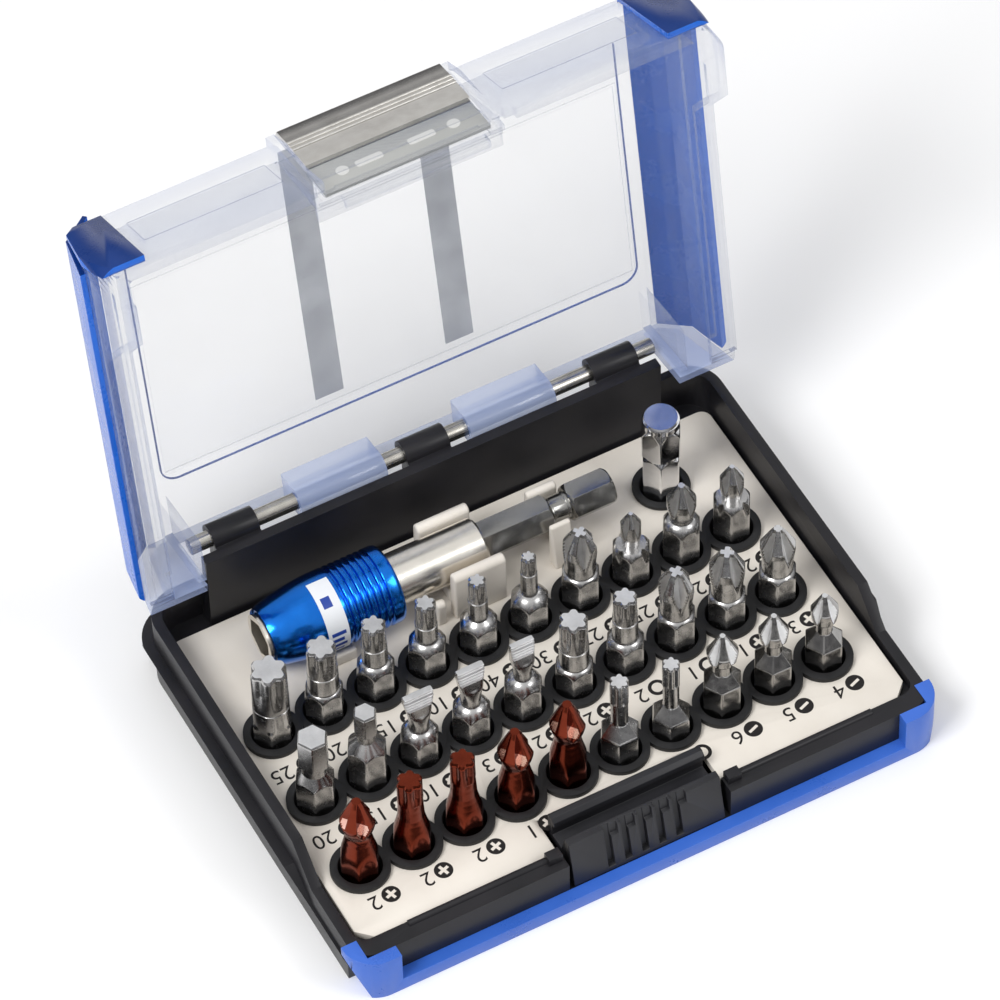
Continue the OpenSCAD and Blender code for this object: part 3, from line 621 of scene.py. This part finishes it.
for node, ((finish, second), make) in BITS.items():
    bit_piece(node, make, finish, second)


def adapter():
    low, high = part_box("square_adapter")
    place = Matrix.Translation(((low[0] + high[0]) / 2, (low[1] + high[1]) / 2, low[2]))
    length = (high[2] - low[2]) / MM
    stock = hexagon_stock(length)

    def shape(a, depth):
        limit = line([(0, 2.95), (0.5, 3.3), (1.6, 3.35), (3.6, 3.9), (40, 3.9)], depth)
        waist = line([(0, 9), (8.2, 9), (8.8, 3.1), (9.6, 3.1), (10.6, 3.75), (40, 9)], depth)
        return softer(stock(a, depth) * (1.06 if depth < 8.8 else 1), min(limit, waist), 0.12)
    mesh = mesh_of(tube(bit_solid(length, shape, 13.5), 144, place))
    add_piece("square_adapter_tool", mesh, "adapter", chrome, "square_adapter", smooth=0.55)


adapter()


# -------------------------------------------------------------- case and lid

softened_piece("base_shell", black, 0.4, 3)
softened_piece("front_bumper", blue, 0.5, 3)
softened_piece("bit_tray", cream, 0.2)
softened_piece("holder_clips", cream, 0.45, 3)
for name in ("socket_strip_back", "socket_strip_middle", "socket_strip_front", "adapter_collar"):
    softened_piece(name, rubber, 0.2)
softened_piece("release_catch", catch_black, 0.16)
softened_piece("hinge_rod", rod_steel, 0.2)
softened_piece("holder_shank", shank_steel, 0.2)

HINGE = next(j for j in frame["record"]["behaviour"]["joints"] if j["name"] == "lid_hinge")
OPEN_LID = Matrix.Translation(HINGE["pos_m"]) @ Matrix.Rotation(math.radians(HINGE["range_deg"][0]), 4, "X")


KNUCKLE_REACH = 4.6   # mm from the hinge axis
EDGE_WIDTH = 0.28     # mm; narrower faces are rounded edges, which take the painted edge shade


def lid_clear_shell():
    mesh = softened("lid_shell", 0.32, 2, 0.4, 1)
    piece = add_piece("lid_shell_look", mesh, "lid", None, "lid_shell", smooth=0.7)
    piece.data.materials[0] = clear
    piece.data.materials[1] = edge_painted_shade
    piece.data.materials.append(knuckle_clear)
    to_lid = OPEN_LID.inverted()
    for face in piece.data.polygons:
        spot = to_lid @ face.center / MM
        edges = [(piece.data.vertices[a].co - piece.data.vertices[b].co).length for a, b in face.edge_keys]
        # the narrow rounded-edge faces take the painted edge shade in slot 1
        if face.area / max(edges) < EDGE_WIDTH * MM:
            face.material_index = 1
        elif math.hypot(spot.y, spot.z) < KNUCKLE_REACH:
            face.material_index = 2


def corner_guards():
    """The blue guards: the strip on the lid's chamfer, with a darker block round each corner."""
    for name in ("lid_bumper_left", "lid_bumper_right"):
        mesh = softened(name, 0.12, 2)
        piece = add_piece(name + "_look", mesh, "lid", lid_blue, name, smooth=0.7)
        piece.data.materials.append(guard_navy)
        to_lid = OPEN_LID.inverted()
        for face in piece.data.polygons:
            spot = to_lid @ face.center / MM
            turned_up = to_lid.to_3x3() @ face.normal
            if spot.y < -66 and turned_up.y < -0.5:
                face.material_index = 1


def drawn(outline, span, place):
    """A closed bar along X: an outline of (y, z) points in mm, between the two X values of span."""
    work = bmesh.new()
    ends = [[work.verts.new(place @ Vector((x * MM, y * MM, z * MM))) for y, z in outline]
            for x in span]
    work.faces.new(ends[0])
    work.faces.new(reversed(ends[1]))
    for i in range(len(outline)):
        j = (i + 1) % len(outline)
        work.faces.new((ends[0][i], ends[1][i], ends[1][j], ends[0][j]))
    bmesh.ops.recalc_face_normals(work, faces=work.faces)
    return mesh_of(work)


def arc(centre, radius, start, stop, steps=10):
    """Points of an arc in the (y, z) plane, angles in degrees."""
    spots = []
    for i in range(steps + 1):
        a = math.radians(start + (stop - start) * i / steps)
        spots.append((centre[0] + radius * math.cos(a), centre[1] + radius * math.sin(a)))
    return spots


def latch_front():
    """The bent steel plate over the latch, with three fine ridges along it."""
    outer = [(-74.27, 7.38)]
    outer += arc((-74.6, 6.5), 0.75, 80, 165, 8)
    outer += [(-75.5, 4.6), (-75.72, 3.3)]
    for k in range(3):
        outer += arc((-75.72, 2.6 - 0.95 * k), 0.3, 100, 260, 8)
    outer += [(-75.8, -0.9), (-75.93, -2.2), (-75.93, -4.18), (-74.27, -4.18)]
    add_piece("latch_plate_look", drawn(outer, (-15.35, 15.35), OPEN_LID), "lid", plate_steel,
              "latch_plate", smooth=0.9)


def rounded_pad(half_x, half_z, corner, steps=8):
    """Outline of a rectangle with round corners, as (x, z) points."""
    spots = []
    for quarter, (sx, sz) in enumerate(((1, 1), (-1, 1), (-1, -1), (1, -1))):
        for i in range(steps + 1):
            a = math.pi / 2 * (quarter + i / steps)
            spots.append((sx * (half_x - corner) + corner * math.cos(a),
                          sz * (half_z - corner) + corner * math.sin(a)))
    return spots


def slab(outline, level_0, level_1, place):
    """A closed slab between two levels over an outline of (x, y) points in mm."""
    work = bmesh.new()
    low, high = ([work.verts.new(place @ Vector((x * MM, y * MM, z * MM))) for x, y in outline]
                 for z in (level_0, level_1))
    work.faces.new(reversed(low))
    work.faces.new(high)
    for i in range(len(outline)):
        j = (i + 1) % len(outline)
        work.faces.new((low[i], low[j], high[j], high[i]))
    bmesh.ops.recalc_face_normals(work, faces=work.faces)
    return mesh_of(work)


def latch_panel():
    """Frosted panel under the plate, with two bosses and two ribs that show through it."""
    softened_piece("latch_insert", frosted, 0.12)
    face_on = OPEN_LID @ Matrix.Translation((0, -75.0 * MM, -7.7 * MM)) @ Matrix.Rotation(math.pi / 2, 4, "X")
    boss = rounded_pad(1.15, 1.15, 1.14)
    rib = rounded_pad(2.5, 0.8, 0.5)
    marks = [slab(outline, -0.02, 0.1, face_on @ Matrix.Translation((x * MM, 0, 0)))
             for x, outline in ((-10.4, boss), (10.4, boss), (-5.4, rib), (4.4, rib))]
    add_piece("latch_panel_marks", join_meshes(marks), "lid", frost_light)


def u_shape(half_x, near, corner, far, steps=8):
    """Points down one side of the window, round its two corners near the hinge and up the other."""
    spots = [(-half_x, far)]
    for side in (-1, 1):
        for i in range(steps + 1):
            a = math.pi / 2 * (i / steps)
            across, along = (math.cos(a), math.sin(a)) if side < 0 else (math.sin(a), math.cos(a))
            spots.append((side * (half_x - corner + corner * across), near - corner + corner * along))
    return spots + [(half_x, far)]


def window_outline():
    """Thin step that frames the clear window on its inner side."""
    outer = u_shape(46.6, -11.9, 3.4, -66)
    inner = u_shape(46.35, -12.15, 3.15, -66)
    work = bmesh.new()
    rings = [[work.verts.new(OPEN_LID @ Vector((x * MM, y * MM, z * MM))) for x, y in outline]
             for outline, z in ((outer, 4.5), (outer, 4.78), (inner, 4.78), (inner, 4.5))]
    for k in range(4):
        here, there = rings[k], rings[(k + 1) % 4]
        for i in range(len(outer) - 1):
            work.faces.new((here[i], here[i + 1], there[i + 1], there[i]))
    for end in (0, -1):
        work.faces.new([ring[end] for ring in rings])
    bmesh.ops.recalc_face_normals(work, faces=work.faces)
    add_piece("window_outline", mesh_of(work), "lid", window_line)


lid_clear_shell()
corner_guards()
latch_front()
latch_panel()
window_outline()

# ---------------------------------------------------------------------- holder

SLEEVE_LOW, SLEEVE_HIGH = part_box("holder_sleeve")
BODY_LOW, BODY_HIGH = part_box("holder_body")
HOLDER = Matrix.Translation((BODY_LOW[0], (BODY_LOW[1] + BODY_HIGH[1]) / 2,
                             (BODY_LOW[2] + BODY_HIGH[2]) / 2)) @ Matrix.Rotation(math.pi / 2, 4, "Y")
SLEEVE_R = (SLEEVE_HIGH[1] - SLEEVE_LOW[1]) / 2 / MM


GROOVE = ((0.1, 0.1), (0.26, 0.42), (0.48, 0.42), (0.66, 0.1), (0.78, 0), (1.0, 0))


def sleeve():
    """Anodised sleeve: a rounded nose, a plain band and seven grip ridges, hollow for its spring."""
    outline = [(0.75, 5.21)]
    for i in range(1, 15):
        z = 0.75 + (13 - 0.75) * i / 14
        outline.append((z, 5.21 + (SLEEVE_R - 5.21) * math.sin(z / 13 * math.pi / 2)))
    outline.append((14.4, SLEEVE_R))
    for ridge in range(7):
        start = 14.5 + ridge * 1.22
        outline += [(start + along, SLEEVE_R - deep) for along, deep in GROOVE]
    outline += [(24.2, SLEEVE_R), (24.75, SLEEVE_R - 0.15), (25, SLEEVE_R - 0.5), (25, 4.82), (22.4, 4.82),
                (22.4, 5.9), (6.2, 5.9), (6.2, 4.82), (2.4, 4.82), (2.4, 5.19), (0.75, 5.19)]
    add_piece("holder_sleeve_look", ring_solid(outline, HOLDER, 128), "sleeve", anodised, "holder_sleeve",
              smooth=0.7)


def wrapped(turn_0, turn_1, along_0, along_1, radius, thick, steps=40):
    """A thin patch round the sleeve; turns are degrees from the top towards the front."""
    work = bmesh.new()
    rows = []
    for i in range(steps + 1):
        a = math.radians(turn_0 + (turn_1 - turn_0) * i / steps)
        rows.append([work.verts.new(HOLDER @ Vector((-r * MM * math.cos(a), -r * MM * math.sin(a), z * MM)))
                     for r, z in ((radius, along_0), (radius + thick, along_0),
                                  (radius + thick, along_1), (radius, along_1))])
    for here, there in zip(rows, rows[1:]):
        for k in range(4):
            n = (k + 1) % 4
            work.faces.new((here[k], here[n], there[n], there[k]))
    work.faces.new(rows[0])
    work.faces.new(reversed(rows[-1]))
    bmesh.ops.recalc_face_normals(work, faces=work.faces)
    return mesh_of(work)


def sleeve_print():
    """White label with a plain mark of bars and a block."""
    label = wrapped(-11, 116, 9.9, 13.85, SLEEVE_R + 0.005, 0.08, 60)
    add_piece("sleeve_label_look", label, "sleeve", white_print, "sleeve_label")
    print_radius = SLEEVE_R + 0.086
    bars = [wrapped(72 + 11 * k, 78 + 11 * k, 10.5, 13.2 - 0.5 * (k % 2), print_radius, 0.02)
            for k in range(4)]
    bars.append(wrapped(18, 34, 10.7, 12.4, print_radius, 0.02))
    add_piece("sleeve_label_mark", join_meshes(bars), "sleeve", label_blue)


def coil_tree():
    """Geometry nodes that wind a wire of a given thickness into a coil."""
    tree = bpy.data.node_groups.new("coil", "GeometryNodeTree")
    faces = tree.interface
    faces.new_socket(name="Geometry", in_out="OUTPUT", socket_type="NodeSocketGeometry")
    sizes = {}
    for label in ("Turns", "Radius", "Length", "Wire"):
        sizes[label] = faces.new_socket(name=label, in_out="INPUT", socket_type="NodeSocketFloat").identifier
    build = Tree(tree)
    given = tree.nodes.new("NodeGroupInput")
    asked = {label: Value(build, given.outputs[label]) for label in sizes}
    coil = build.node("GeometryNodeCurveSpiral", None, {
        "Resolution": 28, "Rotations": asked["Turns"], "Start Radius": asked["Radius"],
        "End Radius": asked["Radius"], "Height": asked["Length"]})
    wire = build.node("GeometryNodeCurvePrimitiveCircle", None, {"Resolution": 10, "Radius": asked["Wire"]})
    solid = build.node("GeometryNodeCurveToMesh", None,
                       {"Curve": coil, "Profile Curve": wire, "Fill Caps": True})
    real = build.node("GeometryNodeRealizeInstances", None, {"Geometry": solid})
    painted = build.node("GeometryNodeSetMaterial", None, {"Geometry": real, "Material": spring_steel})
    end = tree.nodes.new("NodeGroupOutput")
    build.put(end.inputs["Geometry"], painted)
    return tree, sizes


def coil_spring(name, node, body, place, turns, radius, length, wire):
    tree, sizes = COIL
    piece = bpy.data.objects.new("work", bpy.data.meshes.new("work"))
    bpy.context.scene.collection.objects.link(piece)
    winding = piece.modifiers.new("coil", "NODES")
    winding.node_group = tree
    for label, value in (("Turns", float(turns)), ("Radius", radius * MM), ("Length", length * MM),
                         ("Wire", wire * MM)):
        winding[sizes[label]] = value
    mesh = settled(piece)
    mesh.transform(place)
    add_piece(name, mesh, body, spring_steel, node, smooth=1.2)


COIL = coil_tree()
sleeve()
sleeve_print()
coil_spring("sleeve_spring_coil", "sleeve_spring", "holder", HOLDER @ Matrix.Translation((0, 0, 6.65 * MM)),
            7, 5.25, 11.8, 0.25)
SPRING_LOW, SPRING_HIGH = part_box("catch_spring")
coil_spring("catch_spring_coil", "catch_spring", "case",
            Matrix.Translation(((SPRING_LOW[0] + SPRING_HIGH[0]) / 2, SPRING_HIGH[1] - 0.2 * MM,
                                (SPRING_LOW[2] + SPRING_HIGH[2]) / 2)) @ Matrix.Rotation(math.pi / 2, 4, "X"),
            6, 1.1, 4.2, 0.17)

for name, finish in (("lid_bands", band_grey), ("retaining_ring", spring_steel), ("lock_balls", chrome),
                     ("holder_magnet", magnet_grey), ("holder_body", turned)):
    held = frame["nodes"][name]
    held.data.materials.clear()
    held.data.materials.append(finish)


# ----------------------------------------------------------------------- print

TRAY_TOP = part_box("bit_tray")[1][2] / MM
FIRST_X, PITCH = -46.3, 10.0
LETTER_HEIGHT = 4.15
SYMBOLS = {"+": "cross", "-": "slot", "*": "star", "o": "key", "": None}
PRINT_ROWS = {
    -30.1: ("2+", "2+", "2+", "1+", "", "", "o", "6-", "5-", "4-"),
    -14.4: ("20*", "15*", "10*", "3+", "2+", "2+", "2o", "1o", "1+", "3+"),
    1.0: ("25*", "20*", "15*", "10*", "40*", "30*", "27*", "25*", "2+", "2+"),
}


def number(text, x, y):
    """A printed number, read from behind the case, as thin solid letters."""
    words = bpy.data.curves.new("number", "FONT")
    words.body = text
    words.size = LETTER_HEIGHT * MM
    words.align_x = "CENTER"
    words.align_y = "CENTER"
    words.extrude = 0.012 * MM
    piece = bpy.data.objects.new("work", words)
    bpy.context.scene.collection.objects.link(piece)
    mesh = settled(piece)
    place = Matrix.Translation((x * MM, y * MM, (TRAY_TOP + 0.014) * MM))
    mesh.transform(place @ Matrix.Rotation(math.pi, 4, "Z"))
    return mesh


def symbol(kind, x, y):
    """A dark disc, and the pale drive shape on it."""
    place = Matrix.Translation((x * MM, y * MM, TRAY_TOP * MM)) @ Matrix.Rotation(0.35, 4, "Z")
    disc = slab([(1.65 * math.cos(a), 1.65 * math.sin(a)) for a in (2 * math.pi * i / 40 for i in range(40))],
                0, 0.025, place)
    if kind == "cross":
        w, l = 0.28, 1.05
        shape = [(w, w), (w, l), (-w, l), (-w, w), (-l, w), (-l, -w), (-w, -w), (-w, -l), (w, -l), (w, -w),
                 (l, -w), (l, w)]
    elif kind == "slot":
        shape = rounded_pad(1.0, 0.26, 0.1, 3)
    else:
        shape = []
        for i in range(48):
            a = 2 * math.pi * i / 48
            reach = 1.0 if kind == "key" else 0.95 + 0.17 * math.cos(6 * a)
            shape.append((reach * math.cos(a), reach * math.sin(a)))
    return disc, slab(shape, 0.02, 0.04, place)


def tray_print():
    dark, pale = [], []
    for y, row in PRINT_ROWS.items():
        for k, label in enumerate(row):
            text = label.rstrip("+-*o")
            kind = SYMBOLS[label[len(text):]]
            centre = FIRST_X + PITCH * k
            if text:
                dark.append(number(text, centre - (1.1 if len(text) == 1 else 2.6), y - 0.2))
            if kind:
                disc, shape = symbol(kind, centre + 2.1, y)
                dark.append(disc)
                pale.append(shape)
    add_piece("tray_numbers", join_meshes(dark), "case", ink)
    add_piece("tray_symbols", join_meshes(pale), "case", cream)


tray_print()

# --------------------------------------------------------- light, floor, camera

def area_light(name, place, aim, size, power, colour=(1, 1, 1)):
    lamp = bpy.data.lights.new(name, "AREA")
    lamp.size = size
    lamp.energy = power
    lamp.color = colour
    holder = bpy.data.objects.new(name, lamp)
    holder.location = place
    holder.rotation_euler = (Vector(aim) - Vector(place)).to_track_quat("-Z", "Y").to_euler()
    bpy.context.scene.collection.objects.link(holder)


def studio():
    """Bright overhead, darker towards the horizon, with two soft boxes."""
    world = bpy.data.worlds.new("studio")
    world.use_nodes = True
    sky = Tree(world.node_tree)
    way = sky.node("ShaderNodeTexCoord", output="Generated")
    up = sky.node("ShaderNodeSeparateXYZ", None, {"Vector": way}, output="Z")
    stops = ((0.0, (0.1, 0.1, 0.105, 1)), (0.2, (0.14, 0.14, 0.15, 1)),
             (0.42, (0.75, 0.75, 0.76, 1)), (1.0, (1, 1, 1, 1)))
    glow = sky.node("ShaderNodeValToRGB", {"stops": stops}, {"Fac": up})
    back = world.node_tree.nodes["Background"]
    sky.put(back.inputs["Color"], glow)
    sky.put(back.inputs["Strength"], 0.84)
    bpy.context.scene.world = world
    bpy.context.scene.view_settings.view_transform = "Standard"
    area_light("key", (-0.55, -0.15, 0.75), (0, 0, 0.02), 0.34, 4.6)
    area_light("fill", (0.45, -0.5, 0.7), (0, 0, 0.03), 0.34, 1.6)
    floor = Finish("floor", Roughness=0.8)
    cloud = floor.noise(60, 2)
    floor.set("Base Color", floor.tint(cloud, (0.94, 0.94, 0.94), (0.96, 0.96, 0.96)))
    sheet = bpy.data.meshes.new("floor")
    sheet.from_pydata([(-3, -3, 0), (3, -3, 0), (3, 3, 0), (-3, 3, 0)], [], [(0, 1, 2, 3)])
    sheet.materials.append(floor.material)
    ground = bpy.data.objects.new("floor", sheet)
    bpy.context.scene.collection.objects.link(ground)


def camera():
    """The camera looks down and to the right from the front left."""
    turn, tilt, roll = (math.radians(v) for v in (-26.82, 52.09, -2.03))
    look = Vector((-math.sin(turn) * math.cos(tilt), math.cos(turn) * math.cos(tilt), -math.sin(tilt)))
    right = Vector((math.cos(turn), math.sin(turn), 0))
    up = right.cross(look)
    level_right, level_up = right, up
    right = level_right * math.cos(roll) + level_up * math.sin(roll)
    up = level_up * math.cos(roll) - level_right * math.sin(roll)
    aim = Vector((0.01131, 0.03399, 0.010))
    lens = bpy.data.cameras.new("camera")
    lens.lens = 252
    lens.sensor_width = 36
    lens.clip_start = 0.05
    holder = bpy.data.objects.new("camera", lens)
    turned_to = Matrix((right, up, -look)).transposed().to_4x4()
    holder.matrix_world = Matrix.Translation(aim - look * 1.2255) @ turned_to
    bpy.context.scene.collection.objects.link(holder)
    bpy.context.scene.camera = holder


studio()
camera()
